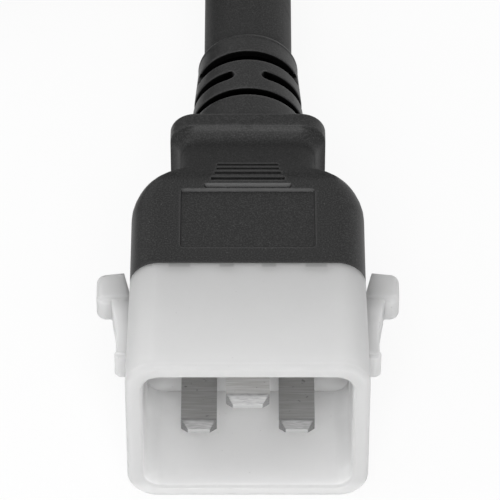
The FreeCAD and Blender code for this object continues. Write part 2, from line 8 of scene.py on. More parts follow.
import bmesh
import bpy
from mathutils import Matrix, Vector


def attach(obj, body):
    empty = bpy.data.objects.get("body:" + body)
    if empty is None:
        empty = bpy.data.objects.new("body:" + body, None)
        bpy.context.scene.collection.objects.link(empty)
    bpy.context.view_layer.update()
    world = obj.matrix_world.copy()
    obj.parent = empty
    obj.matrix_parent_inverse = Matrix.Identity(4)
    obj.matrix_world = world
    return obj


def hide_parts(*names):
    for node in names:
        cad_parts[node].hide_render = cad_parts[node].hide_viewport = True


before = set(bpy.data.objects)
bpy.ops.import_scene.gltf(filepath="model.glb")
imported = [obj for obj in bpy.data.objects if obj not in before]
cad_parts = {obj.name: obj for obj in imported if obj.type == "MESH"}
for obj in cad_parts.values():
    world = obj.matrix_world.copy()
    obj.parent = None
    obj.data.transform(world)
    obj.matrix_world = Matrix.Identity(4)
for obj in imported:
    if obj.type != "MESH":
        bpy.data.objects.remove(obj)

logging.basicConfig(level=logging.INFO, format="%(message)s")
LOG = logging.getLogger("power_cord")
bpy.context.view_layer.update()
MM = 0.001

# Rays that show a surface or the backdrop, as against light that falls on things
SEEN_RAYS = ("Is Camera Ray", "Is Glossy Ray", "Is Transmission Ray")
# Samples of the nodes that feel for edges and crevices
EDGE_SAMPLES = 6
# Sockets of a Mix node that mixes colours
MIX_FACTOR, MIX_FIRST, MIX_SECOND, MIX_RESULT = 0, 6, 7, 2
# Turns the product of two facings into 1 on a face that leans halfway between them
HALFWAY = -2.0

Colour = tuple[float, float, float, float]
Range = tuple[float, float]
Triple = tuple[float, float, float]
SocketValue = "Shade | float | tuple[float, ...]"


class Body(Enum):
    """The bodies that pieces ride on."""
    CORD = "cord"
    LEFT_LATCH = "left_latch"
    RIGHT_LATCH = "right_latch"


class Slot(Enum):
    """The record's material slots."""
    NYLON = "white_nylon"
    VINYL = "black_vinyl"
    HARD_CORE = "black_core"
    NICKEL = "nickel"
    BRASS = "contact_brass"
    SHEATH = "cable_sheath"
    STRAP = "tie_strap"
    LINE = "line_core"
    NEUTRAL = "neutral_core"
    EARTH = "earth_core"


class Shade:
    """A node's output that takes part in Python arithmetic."""

    def __init__(self, bench: "Bench", socket: bpy.types.NodeSocket) -> None:
        """Keeps the bench that the node stands on, and its output."""
        self.bench = bench
        self.socket = socket

    def _maths(self, operation: str, first: SocketValue, second: SocketValue) -> "Shade":
        """Adds one Math node."""
        return self.bench.node("ShaderNodeMath", {"operation": operation}, {0: first, 1: second})

    def __add__(self, other: SocketValue) -> "Shade":
        """self + other."""
        return self._maths("ADD", self, other)

    def __sub__(self, other: SocketValue) -> "Shade":
        """self - other."""
        return self._maths("SUBTRACT", self, other)

    def __mul__(self, other: SocketValue) -> "Shade":
        """self * other."""
        return self._maths("MULTIPLY", self, other)

    def __rsub__(self, other: SocketValue) -> "Shade":
        """other - self."""
        return self._maths("SUBTRACT", other, self)

    def __abs__(self) -> "Shade":
        """The value without its sign."""
        return self._maths("ABSOLUTE", self, 0.0)

    __radd__ = __add__
    __rmul__ = __mul__


@dataclass(frozen=True)
class Pattern:
    """Noise at so many features in a metre, drawn out to 0 below one value and 1 above another."""
    scale: float
    detail: float
    low: float
    high: float


class Bench:
    """Builds the nodes of one material."""

    def __init__(self, label: str) -> None:
        """Starts a material with its shader and the piece's own coordinates."""
        self.material = bpy.data.materials.new(label)
        self.material.use_nodes = True
        self.tree = self.material.node_tree
        self.shader = self.tree.nodes["Principled BSDF"]
        self.place = self.node("ShaderNodeTexCoord", out="Object")

    def node(self, kind: str, settings: dict | None = None, values: dict | None = None,
             out: int | str = 0) -> Shade:
        """Adds a node.

        Args:
            kind: the node's type.
            settings: its properties, set first.
            values: its inputs by name or number, as plain values or links.
            out: the output that is wanted.

        Returns:
            The output, ready for arithmetic.
        """
        node = self.tree.nodes.new(kind)
        for name, value in (settings or {}).items():
            setattr(node, name, value)
        for name, value in (values or {}).items():
            self.feed(node.inputs[name], value)
        return Shade(self, node.outputs[out])

    def feed(self, socket: bpy.types.NodeSocket, value: SocketValue) -> None:
        """Links a shade to an input, or sets a plain value on it."""
        if isinstance(value, Shade):
            self.tree.links.new(value.socket, socket)
        else:
            socket.default_value = value

    def surface(self, **values: SocketValue) -> None:
        """Sets the shader's inputs; underscores in their names stand for spaces."""
        for name, value in values.items():
            self.feed(self.shader.inputs[name.replace("_", " ")], value)

    def noise(self, scale: float, detail: float = 2.0, place: Shade | None = None) -> Shade:
        """Noise about 0.5, at so many features in a metre."""
        return self.node("ShaderNodeTexNoise", {},
                         {"Vector": place or self.place, "Scale": scale, "Detail": detail})

    def drawn_out(self, scales: Triple, detail: float) -> Shade:
        """Noise about 0.5, at different numbers of features in a metre along the piece's axes."""
        place = self.node("ShaderNodeMapping", {}, {"Vector": self.place, "Scale": scales})
        return self.noise(1.0, detail, place)

    def pattern(self, pattern: Pattern) -> Shade:
        """Noise with its values drawn out to 0 and 1."""
        return self.rise(self.noise(pattern.scale, pattern.detail), pattern.low, pattern.high)

    def rise(self, value: Shade, low: SocketValue, high: SocketValue) -> Shade:
        """Smooth step from 0 at low to 1 at high."""
        return self.node("ShaderNodeMapRange", {"interpolation_type": "SMOOTHSTEP"},
                         {"Value": value, "From Min": low, "From Max": high})

    def axis(self, letter: str) -> Shade:
        """One of the piece's coordinates, in metres."""
        return self.node("ShaderNodeSeparateXYZ", {}, {"Vector": self.place}, letter)

    def facing(self, letter: str) -> Shade:
        """How far the surface faces along one of the piece's axes, from -1 to 1."""
        normal = self.node("ShaderNodeTexCoord", out="Normal")
        return self.node("ShaderNodeSeparateXYZ", {}, {"Vector": normal}, letter)

    def band(self, value: Shade, middle: float, half: float, soft: float) -> Shade:
        """1 within a half width of a middle, falling softly to 0 outside it."""
        return 1.0 - self.rise(abs(value - middle), half - soft, half + soft)

    def mix(self, factor: SocketValue, first: SocketValue, second: SocketValue) -> Shade:
        """Colour between two colours."""
        return self.node("ShaderNodeMix", {"data_type": "RGBA"},
                         {MIX_FACTOR: factor, MIX_FIRST: first, MIX_SECOND: second}, MIX_RESULT)

    def rounded(self, radius: float) -> Shade:
        """Normal that seems to roll round sharp edges, at a radius in metres."""
        return self.node("ShaderNodeBevel", {"samples": EDGE_SAMPLES}, {"Radius": radius})

    def crevices(self, reach: float) -> Shade:
        """1 in the open, falling to 0 in slots and corners that are as narrow as the reach, in metres."""
        return self.node("ShaderNodeAmbientOcclusion", {"samples": EDGE_SAMPLES}, {"Distance": reach}, "AO")

    def edges(self, reach: float, cover: Range = (0.50, 0.92)) -> Shade:
        """1 along edges and lips that stick out, and 0 on flat faces.

        Args:
            reach: how far in from an edge it shows, in metres.
            cover: how much of the inside is near, on an edge and on a flat face.

        Returns:
            The mask.
        """
        under = self.node("ShaderNodeAmbientOcclusion", {"samples": EDGE_SAMPLES, "inside": True},
                          {"Distance": reach}, "AO")
        return 1.0 - self.rise(under, *cover)

    def relief(self, height: Shade, depth: float, strength: float = 1.0, edge: float = 0.0) -> Shade:
        """Normal of a bumped surface.

        Args:
            height: the bump's height, from 0 to 1.
            depth: how deep that is, in metres.
            strength: how strongly it shows.
            edge: the radius that sharp edges seem to be rounded to, in metres.

        Returns:
            The normal.
        """
        values = {"Height": height, "Distance": depth, "Strength": strength}
        if edge > 0:
            values["Normal"] = self.rounded(edge)
        return self.node("ShaderNodeBump", {}, values)


def grey(value: float) -> Colour:
    """A neutral colour."""
    return (value, value, value, 1.0)


@dataclass(frozen=True)
class Finish(ABC):
    """A surface finish and the record's slot that it belongs to."""
    label: str
    slot: Slot

    @abstractmethod
    def build(self) -> bpy.types.Material:
        """Makes the material."""


@dataclass(frozen=True)
class NylonFinish(Finish):
    """Satin white nylon that light soaks into, with faint flow marks, specks and rubs.

    Its tones follow the part's own coordinates and the way that its faces lean, and hold painted light and
    shade: painted shade on the walls towards the rear, on the rim and on edges that lean between forward and up,
    and painted light on the lower front edge and in the cavity.
    """
    # Outside: walls with painted shade that darkens them from front to rear, the rim with painted shade, the
    # upper front edge with painted shade that damps its highlight, and the lower front edge with painted light
    front: float = 0.602
    rear: float = 0.505
    rim: float = 0.540
    front_y: float = -34.0 * MM
    rear_y: float = -15.5 * MM
    brow_shade: float = 0.46
    brow_lean: Range = (0.15, 1.0)
    brow_share: float = 0.7
    brow_lost_inside: float = 0.4
    chin_light: float = 0.78
    chin_height: Range = (0.3 * MM, 3.6 * MM)
    chin_fade: Range = (-35.0 * MM, -33.0 * MM)
    # Cavity: where it is, and its painted light from the lip to the back wall, with painted shade on the back
    # wall's upper part
    axis_height: float = 12.6 * MM
    cavity_half_width: float = 13.9 * MM
    cavity_half_height: float = 10.5 * MM
    cavity_soft: float = 0.3 * MM
    cavity_rim_y: float = -35.6 * MM
    cavity_start: Range = (-35.7 * MM, -35.3 * MM)
    inner_lip: float = 0.84
    inner_front_light: float = 0.98
    inner_back: float = 0.75
    inner_high_shade: float = 0.43
    lip_fade: Range = (-35.5 * MM, -33.0 * MM)
    inner_fade: Range = (-24.0 * MM, -18.7 * MM)
    back_fade: Range = (2.0 * MM, 6.6 * MM)
    # Shade round the grip's keys at the seam: places to each side, and half widths
    seam_y: float = -16.75 * MM
    key_depth: float = 0.7 * MM
    key_places: tuple[Range, ...] = ((9.05 * MM, 1.42 * MM), (2.8 * MM, 0.95 * MM))
    key_soft: float = 0.2 * MM
    key_share: float = 0.28
    key_tone: float = 0.05
    # Flow marks, specks, rubs and grain
    cloud_scale: float = 140.0
    cloud_share: float = 0.10
    cloud_tone: float = 0.40
    specks: Pattern = Pattern(2300.0, 1.0, 0.76, 0.82)
    speck_share: float = 0.22
    speck_tone: float = 0.12
    rub_scales: Triple = (260.0, 2600.0, 900.0)
    rub_bump: float = 0.4
    grain: float = 3800.0
    bump_depth: float = 0.03 * MM
    bump_strength: float = 0.35
    edge: float = 0.12 * MM
    # Gloss, and how far light soaks in
    rough: float = 0.30
    rub_rough: float = 0.20
    gloss: float = 0.12
    soak: float = 0.9
    soak_depth: float = 6.0 * MM

    def _inside(self, bench: Bench, across: Shade, along: Shade, height: Shade) -> Shade:
        """1 in the cavity, and 0 outside it."""
        return (bench.band(across, 0.0, self.cavity_half_width, self.cavity_soft)
                * bench.band(height, self.axis_height, self.cavity_half_height, self.cavity_soft)
                * bench.rise(along, *self.cavity_start))

    def _outer_tone(self, bench: Bench, along: Shade, height: Shade) -> Shade:
        """Tone of the walls, painted darker towards the rear as painted shade, the rim, painted darker, and the
        lower front edge, brighter as painted light.
        """
        # Painted shade: the walls darker towards the rear, and the rim darker still
        depth = bench.rise(along, self.front_y, self.rear_y)
        walls = bench.mix(depth, grey(self.front), grey(self.rear))
        rimmed = bench.mix(bench.rise(along, self.cavity_rim_y, self.front_y), grey(self.rim), walls)
        # Painted light on the lower front edge, which the lamps leave dim
        chin_light = (1.0 - bench.rise(height, *self.chin_height)) * (1.0 - bench.rise(along, *self.chin_fade))
        return bench.mix(chin_light, rimmed, grey(self.chin_light))

    def _inner_tone(self, bench: Bench, along: Shade, height: Shade) -> Shade:
        """Painted light in the cavity, from its lip to its back wall, with painted shade on the back wall's
        upper part.
        """
        mouth = bench.mix(bench.rise(along, *self.lip_fade), grey(self.inner_lip), grey(self.inner_front_light))
        back = bench.mix(bench.rise(height, *self.back_fade), grey(self.inner_back), grey(self.inner_high_shade))
        return bench.mix(bench.rise(along, *self.inner_fade), mouth, back)

    def _keys(self, bench: Bench, across: Shade, along: Shade) -> Shade:
        """1 round the grip's keys at the seam, and 0 elsewhere."""
        half_depth = self.key_depth / 2
        near_seam = bench.band(along, self.seam_y - half_depth, half_depth, self.key_soft)
        aside = abs(across)
        keys = sum(bench.band(aside, place, half, self.key_soft) for place, half in self.key_places)
        return keys * near_seam

    def build(self) -> bpy.types.Material:
        """Makes the material."""
        bench = Bench(self.label)
        across, along, height = bench.axis("X"), bench.axis("Y"), bench.axis("Z")
        inside = self._inside(bench, across, along, height)
        # Painted light in the cavity, standing in for light through the translucent walls, with painted shade
        # high on its back wall
        plain = bench.mix(inside, self._outer_tone(bench, along, height),
                          self._inner_tone(bench, along, height))
        # Painted shade on edges that lean halfway between forward and up, and on those between back and down,
        # damping their highlight; less of it in the cavity
        brow_shade = bench.rise(bench.facing("Y") * bench.facing("Z") * HALFWAY, *self.brow_lean)
        edge_shaded = bench.mix(brow_shade * (self.brow_share - inside * self.brow_lost_inside), plain, grey(self.brow_shade))
        cloudy = bench.mix(bench.noise(self.cloud_scale, 3.0) * self.cloud_share, edge_shaded, grey(self.cloud_tone))
        marked = bench.mix(bench.pattern(self.specks) * self.speck_share, cloudy, grey(self.speck_tone))
        shaded = bench.mix(self._keys(bench, across, along) * self.key_share, marked, grey(self.key_tone))
        rubs = bench.drawn_out(self.rub_scales, 3.0)
        bumps = bench.noise(self.grain, 2.0) + rubs * self.rub_bump
        bench.surface(Base_Color=shaded, Roughness=self.rough + rubs * self.rub_rough,
                      Subsurface_Weight=self.soak, Subsurface_Radius=(1.0, 1.0, 1.0),
                      Subsurface_Scale=self.soak_depth, Specular_IOR_Level=self.gloss,
                      Normal=bench.relief(bumps, self.bump_depth, self.bump_strength, self.edge))
        return bench.material


@dataclass(frozen=True)
class Stretch:
    """A length of each grip: its middle, ahead of the middle of the relief's slots, and its half, in metres."""
    ahead: float
    half: float
    soft: float


RELIEF_SLOTS = Stretch(0.0, 5.6 * MM, 0.3 * MM)
NECK = Stretch(20.4 * MM, 6.2 * MM, 0.8 * MM)
FINGER_GROOVES = Stretch(24.0 * MM, 2.8 * MM, 1.2 * MM)
PANEL_REAR = Stretch(28.2 * MM, 0.9 * MM, 0.1 * MM)


@dataclass(frozen=True)
class VinylFinish(Finish):
    """Matte black moulded vinyl with a fine spark-eroded grain, dust, edge wear with painted highlights, a
    painted highlight on the wall behind the label panel, and painted shade in crevices and slots.

    The values that end in _times are multiples of its tone.
    """
    tone: float = 0.0112
    rough: float = 0.43
    grain: float = 5000.0
    # Middles of the slots of both strain reliefs, and how far the grips reach to each side
    slot_rows: tuple[Range, ...] = ((0.0, 25.9 * MM), (-162.5 * MM, 68.15 * MM))
    half_width: float = 12.0 * MM
    side_soft: float = 0.5 * MM
    # Painted shade in crevices: how open they are, how much more that takes in the slots, and the slots' walls,
    # which get painted shade too
    crevice_reach: float = 2.0 * MM
    crevice_open: Range = (0.33, 0.56)
    slot_open: Range = (0.09, 0.16)
    wall_facing: Range = (0.60, 0.92)
    wall_share: float = 0.9
    groove_light: float = 0.4
    painted_shade_times: float = 0.03
    dark_rough: float = 0.45
    neck_rough: float = 0.4
    # Dust, specks, cloudiness and grain
    dust: Pattern = Pattern(420.0, 4.0, 0.52, 0.80)
    dust_share: float = 0.3
    dust_rough: float = 0.10
    specks: Pattern = Pattern(2600.0, 1.0, 0.71, 0.78)
    speck_share: float = 0.20
    speck_tone: float = 0.16
    cloud_scale: float = 90.0
    cloud_share: float = 0.6
    cloud_times: Range = (0.55, 0.95)
    grain_range: Range = (0.38, 0.72)
    grain_times: float = 2.6
    bump_depth: float = 0.03 * MM
    bump_strength: float = 0.75
    edge: float = 0.15 * MM
    gloss: float = 0.20
    # Edge wear with painted highlights on lips that stick out, and a painted highlight on the wall behind the
    # label panel
    wear_and_highlight_reach: float = 0.45 * MM
    wear_and_highlight_share: float = 0.6
    wear_and_highlight_times: float = 9.0
    panel_highlight_facing: Range = (0.5, 0.75)
    panel_highlight_share: float = 0.8
    panel_highlight_times: float = 7.0

    def stretch(self, bench: Bench, part: Stretch) -> Shade:
        """1 on a stretch of each grip, and 0 elsewhere."""
        across, along = bench.axis("X"), bench.axis("Y")
        return sum(bench.band(across, x, self.half_width, self.side_soft)
                   * bench.band(along, y - part.ahead, part.half, part.soft) for x, y in self.slot_rows)

    def open_air(self, bench: Bench) -> Shade:
        """1 on open faces, falling to 0 where painted shade goes: in grooves and, sooner, in the deep slots of
        the strain reliefs.
        """
        slots = self.stretch(bench, RELIEF_SLOTS)
        walls = slots * bench.rise(abs(bench.facing("Y")), *self.wall_facing)
        low, high = (slots * more + base for more, base in zip(self.slot_open, self.crevice_open))
        free = bench.rise(bench.crevices(self.crevice_reach), low, high) * (1.0 - walls * self.wall_share)
        return free + (1.0 - free) * self.stretch(bench, FINGER_GROOVES) * self.groove_light

    def _wear_and_highlight_tone(self, bench: Bench, dust: Shade, fine: Shade) -> Shade:
        """Tone of the open faces, with their grain, worn edges that carry painted highlights, a painted
        highlight on the panel's rear wall, and specks.
        """
        low, high = (grey(self.tone * times) for times in self.cloud_times)
        cloud = bench.noise(self.cloud_scale, 2.0)
        tone = bench.mix(cloud * self.cloud_share + dust * self.dust_share, low, high)
        grained = bench.mix(bench.rise(fine, *self.grain_range), tone, grey(self.tone * self.grain_times))
        # Edge wear along lips, bright enough to be a painted highlight as well
        rubs = bench.edges(self.wear_and_highlight_reach) * self.wear_and_highlight_share
        rubbed = bench.mix(rubs, grained, grey(self.tone * self.wear_and_highlight_times))
        # Painted highlight on the forward-facing wall behind the label panel
        forward = bench.rise(bench.facing("Y") * -1.0, *self.panel_highlight_facing)
        wall = self.stretch(bench, PANEL_REAR) * forward
        panel_highlit = bench.mix(wall * self.panel_highlight_share, rubbed, grey(self.tone * self.panel_highlight_times))
        return bench.mix(bench.pattern(self.specks) * self.speck_share, panel_highlit, grey(self.speck_tone))

    def build(self) -> bpy.types.Material:
        """Makes the material."""
        bench = Bench(self.label)
        dust = bench.pattern(self.dust)
        fine = bench.noise(self.grain, 3.0)
        open_air = self.open_air(bench)
        painted_shade = 1.0 - open_air
        # Painted shade: crevices and slots go nearly black
        shaded = bench.mix(open_air, grey(self.tone * self.painted_shade_times), self._wear_and_highlight_tone(bench, dust, fine))
        rough = (self.rough + dust * self.dust_rough + self.stretch(bench, NECK) * self.neck_rough
                 + painted_shade * self.dark_rough)
        # Painted shade: the slots turn black and metallic, so that they reflect nothing
        bench.surface(Base_Color=shaded, Metallic=painted_shade * self.stretch(bench, RELIEF_SLOTS),
                      Roughness=rough, Specular_IOR_Level=self.gloss,
                      Normal=bench.relief(fine, self.bump_depth, self.bump_strength, self.edge))
        return bench.material


@dataclass(frozen=True)
class SheathFinish(VinylFinish):
    """The cable's vinyl, with painted shade where it lies inside the strain reliefs."""
    relief_ends: tuple[Range, ...] = ((0.0, 35.05 * MM), (-162.5 * MM, 77.3 * MM))
    relief_half_width: float = 10.0 * MM
    relief_fade: float = 0.6 * MM

    def open_air(self, bench: Bench) -> Shade:
        """1 on open faces, falling to 0 inside the strain reliefs, where the cable gets painted shade."""
        across, along = bench.axis("X"), bench.axis("Y")
        # Painted shade on the cable inside both strain reliefs
        painted_relief_shade = sum(bench.band(across, x, self.relief_half_width, self.side_soft)
                      * (1.0 - bench.rise(along, y - self.relief_fade, y)) for x, y in self.relief_ends)
        return super().open_air(bench) * (1.0 - painted_relief_shade)


@dataclass(frozen=True)
class NickelFinish(Finish):
    """Brushed nickel plate: brush lines across the blades, streaked coined tips darkened by painted shade that
    dims their reflection, and a painted highlight on the end faces.

    The values that end in _times are multiples of its tone, or of its tip's.
    """
    tone: float = 0.55
    # Tips: painted shade that dims the reflection on their bevels
    tip: float = 0.30
    tip_y: float = -30.3 * MM
    tip_soft: float = 0.1 * MM
    brush_scales: Triple = (260.0, 5200.0, 260.0)
    brush_range: Range = (0.30, 0.70)
    brush_share: float = 0.7
    brush_times: Triple = (0.76, 0.75, 0.73)
    cloud_scale: float = 300.0
    cloud_share: float = 0.3
    pits: Pattern = Pattern(1300.0, 2.0, 0.66, 0.74)
    pit_share: float = 0.6
    pit_times: float = 0.3
    streak_scales: Triple = (900.0, 6500.0, 6500.0)
    streak_range: Range = (0.3, 0.7)
    streak_times: Range = (0.84, 1.14)
    end_glint_facing: Range = (0.80, 0.95)
    end_glint_tone: float = 0.52
    rough: float = 0.46
    brush_rough: float = 0.22
    bump_depth: float = 0.03 * MM
    bump_strength: float = 0.45
    edge: float = 0.12 * MM

    def _tip_tone(self, bench: Bench) -> Shade:
        """Tone of the streaked tips, darkened by painted shade, and the painted highlight on their end faces."""
        low, high = (grey(self.tip * times) for times in self.streak_times)
        streaks = bench.rise(bench.drawn_out(self.streak_scales, 3.0), *self.streak_range)
        # Painted highlight on faces that face forward, the blades' end faces
        glint_faces = bench.rise(bench.facing("Y") * -1.0, *self.end_glint_facing)
        return bench.mix(glint_faces, bench.mix(streaks, low, high), grey(self.end_glint_tone))

    def build(self) -> bpy.types.Material:
        """Makes the material."""
        bench = Bench(self.label)
        lines = bench.drawn_out(self.brush_scales, 4.0)
        cloud = bench.noise(self.cloud_scale, 2.0)
        darker = (*(self.tone * times for times in self.brush_times), 1.0)
        brush = bench.rise(lines, *self.brush_range) * self.brush_share + cloud * self.cloud_share
        brushed = bench.mix(brush, grey(self.tone), darker)
        pitted = bench.mix(bench.pattern(self.pits) * self.pit_share, brushed, grey(self.tone * self.pit_times))
        behind_tip = bench.rise(bench.axis("Y"), self.tip_y - self.tip_soft, self.tip_y + self.tip_soft)
        tone = bench.mix(behind_tip, self._tip_tone(bench), pitted)
        bench.surface(Base_Color=tone, Metallic=1.0, Roughness=self.rough + lines * self.brush_rough,
                      Normal=bench.relief(lines, self.bump_depth, self.bump_strength, self.edge))
        return bench.material


@dataclass(frozen=True)
class BrassFinish(Finish):
    """Bright rolled brass with slight tarnish."""
    bright: Colour = (0.72, 0.55, 0.26, 1.0)
    dull: Colour = (0.45, 0.32, 0.15, 1.0)
    tarnish_scale: float = 400.0
    tarnish_share: float = 0.5
    rough: float = 0.25
    tarnish_rough: float = 0.15

    def build(self) -> bpy.types.Material:
        """Makes the material."""
        bench = Bench(self.label)
        tarnish = bench.noise(self.tarnish_scale, 3.0)
        tone = bench.mix(tarnish * self.tarnish_share, self.bright, self.dull)
        bench.surface(Base_Color=tone, Metallic=1.0, Roughness=self.rough + tarnish * self.tarnish_rough)
        return bench.material


@dataclass(frozen=True)
class CoreFinish(Finish):
    """Smooth coloured insulation of a core, with a second colour in a stripe where it has one."""
    tone: Colour
    stripe: Colour | None = None
    stripe_half: float = 1.0 * MM
    stripe_soft: float = 0.1 * MM
    cloud_scale: float = 500.0
    cloud_times: float = 0.85
    rough: float = 0.35
    cloud_rough: float = 0.1

    def build(self) -> bpy.types.Material:
        """Makes the material."""
        bench = Bench(self.label)
        cloud = bench.noise(self.cloud_scale, 2.0)
        darker = (*(self.cloud_times * part for part in self.tone[:3]), 1.0)
        tone = bench.mix(cloud, self.tone, darker)
        if self.stripe:
            striped = bench.band(bench.axis("X"), 0.0, self.stripe_half, self.stripe_soft)
            tone = bench.mix(striped, tone, self.stripe)
        bench.surface(Base_Color=tone, Roughness=self.rough + cloud * self.cloud_rough)
        return bench.material


@dataclass(frozen=True)
class StrapFinish(Finish):
    """Black hook-and-loop strap with a fine weave."""
    tone: float = 0.018
    fuzz_times: float = 2.2
    fuzz_scale: float = 3000.0
    fuzz_bump: float = 0.4
    weave_scale: float = 350.0
    weave_bump: float = 0.6
    bump_depth: float = 0.15 * MM
    bump_strength: float = 0.6
    rough: float = 0.85
    fuzz_rough: float = 0.1

    def build(self) -> bpy.types.Material:
        """Makes the material."""
        bench = Bench(self.label)
        weave = bench.node("ShaderNodeTexWave", {"bands_direction": "X"},
                           {"Vector": bench.place, "Scale": self.weave_scale})
        fuzz = bench.noise(self.fuzz_scale, 3.0)
        tone = bench.mix(fuzz, grey(self.tone), grey(self.tone * self.fuzz_times))
        bumps = weave * self.weave_bump + fuzz * self.fuzz_bump
        bench.surface(Base_Color=tone, Roughness=self.rough + fuzz * self.fuzz_rough,
                      Normal=bench.relief(bumps, self.bump_depth, self.bump_strength))
        return bench.material


NYLON = NylonFinish("satin_nylon", Slot.NYLON)
# Copy of the nylon for the latches, with its own painted shade, darker from the arms back to the finger tabs
LATCH_NYLON = NylonFinish("latch_nylon", Slot.NYLON, front=0.68, rear=0.54, rim=0.68,
                          front_y=-16.0 * MM, rear_y=-12.5 * MM)
VINYL = VinylFinish("moulded_vinyl", Slot.VINYL)
HARD_CORE = VinylFinish("hard_core", Slot.HARD_CORE, tone=0.016, rough=0.38, grain=3000.0)
SHEATH = SheathFinish("cable_vinyl", Slot.SHEATH, rough=0.60, grain=5600.0)
NICKEL = NickelFinish("brushed_nickel", Slot.NICKEL)
# Copy of the nickel for the earth blade, body and tips painted brighter as painted light; its tips start where
# the earth blade's tips start
EARTH_NICKEL = NickelFinish("earth_nickel", Slot.NICKEL, tone=0.62, tip=0.36, tip_y=-33.3 * MM)
BRASS = BrassFinish("rolled_brass", Slot.BRASS)
STRAP = StrapFinish("loop_strap", Slot.STRAP)
LINE_CORE = CoreFinish("brown_core", Slot.LINE, (0.16, 0.07, 0.03, 1.0))
NEUTRAL_CORE = CoreFinish("blue_core", Slot.NEUTRAL, (0.05, 0.14, 0.42, 1.0))
EARTH_CORE = CoreFinish("green_core", Slot.EARTH, (0.08, 0.30, 0.05, 1.0), stripe=(0.75, 0.62, 0.05, 1.0))


@dataclass
class Wardrobe:
    """Makes each finish once and hands it out."""
    made: dict[str, bpy.types.Material] = field(default_factory=dict)

    def dress(self, piece: bpy.types.Object, finish: Finish) -> None:
        """Gives a piece its only material."""
        if finish.label not in self.made:
            self.made[finish.label] = finish.build()
        piece.data.materials.clear()
        piece.data.materials.append(self.made[finish.label])
        LOG.info("piece %s wears %s", piece.name, finish.label)


@dataclass
class SolidPiece:
    """A smooth-shaded copy of a CAD solid that stands for it."""
    node: str
    body: Body
    finish: Finish
    sharp_degrees: float = 32.0
    merge_distance: float = 0.0005 * MM
    flat_weight: int = 60

    def build(self, wardrobe: Wardrobe) -> bpy.types.Object:
        """Copies the solid, merges its corners and shades it smoothly between its sharp edges.

        Args:
            wardrobe: where the finish comes from.

        Returns:
            The new piece.
        """
        mesh = bpy.data.meshes.new(f"{self.node}_skin")
        shell = bmesh.new()
        shell.from_mesh(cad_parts[self.node].data)
        bmesh.ops.remove_doubles(shell, verts=shell.verts, dist=self.merge_distance)
        for face in shell.faces:
            face.smooth = True
        for edge in shell.edges:
            edge.smooth = edge.calc_face_angle(0.0) < math.radians(self.sharp_degrees)
        shell.to_mesh(mesh)
        shell.free()
        if "custom_normal" in mesh.attributes:
            mesh.attributes.remove(mesh.attributes["custom_normal"])
        piece = bpy.data.objects.new(f"{self.node}_skin", mesh)
        bpy.context.scene.collection.objects.link(piece)
        level = piece.modifiers.new("flat_faces", "WEIGHTED_NORMAL")
        level.keep_sharp = True
        level.weight = self.flat_weight
        wardrobe.dress(piece, self.finish)
        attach(piece, self.body.value)
        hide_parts(self.node)
        return piece


@dataclass
class HiddenPieces:
    """CAD solids inside the grips, which only get a better material."""
    finishes: dict[str, Finish]

    def build(self, wardrobe: Wardrobe) -> list[bpy.types.Object]:
        """Dresses the solids where they are."""
        pieces = [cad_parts[node] for node in self.finishes]
        for piece, finish in zip(pieces, self.finishes.values()):
            wardrobe.dress(piece, finish)
        return pieces


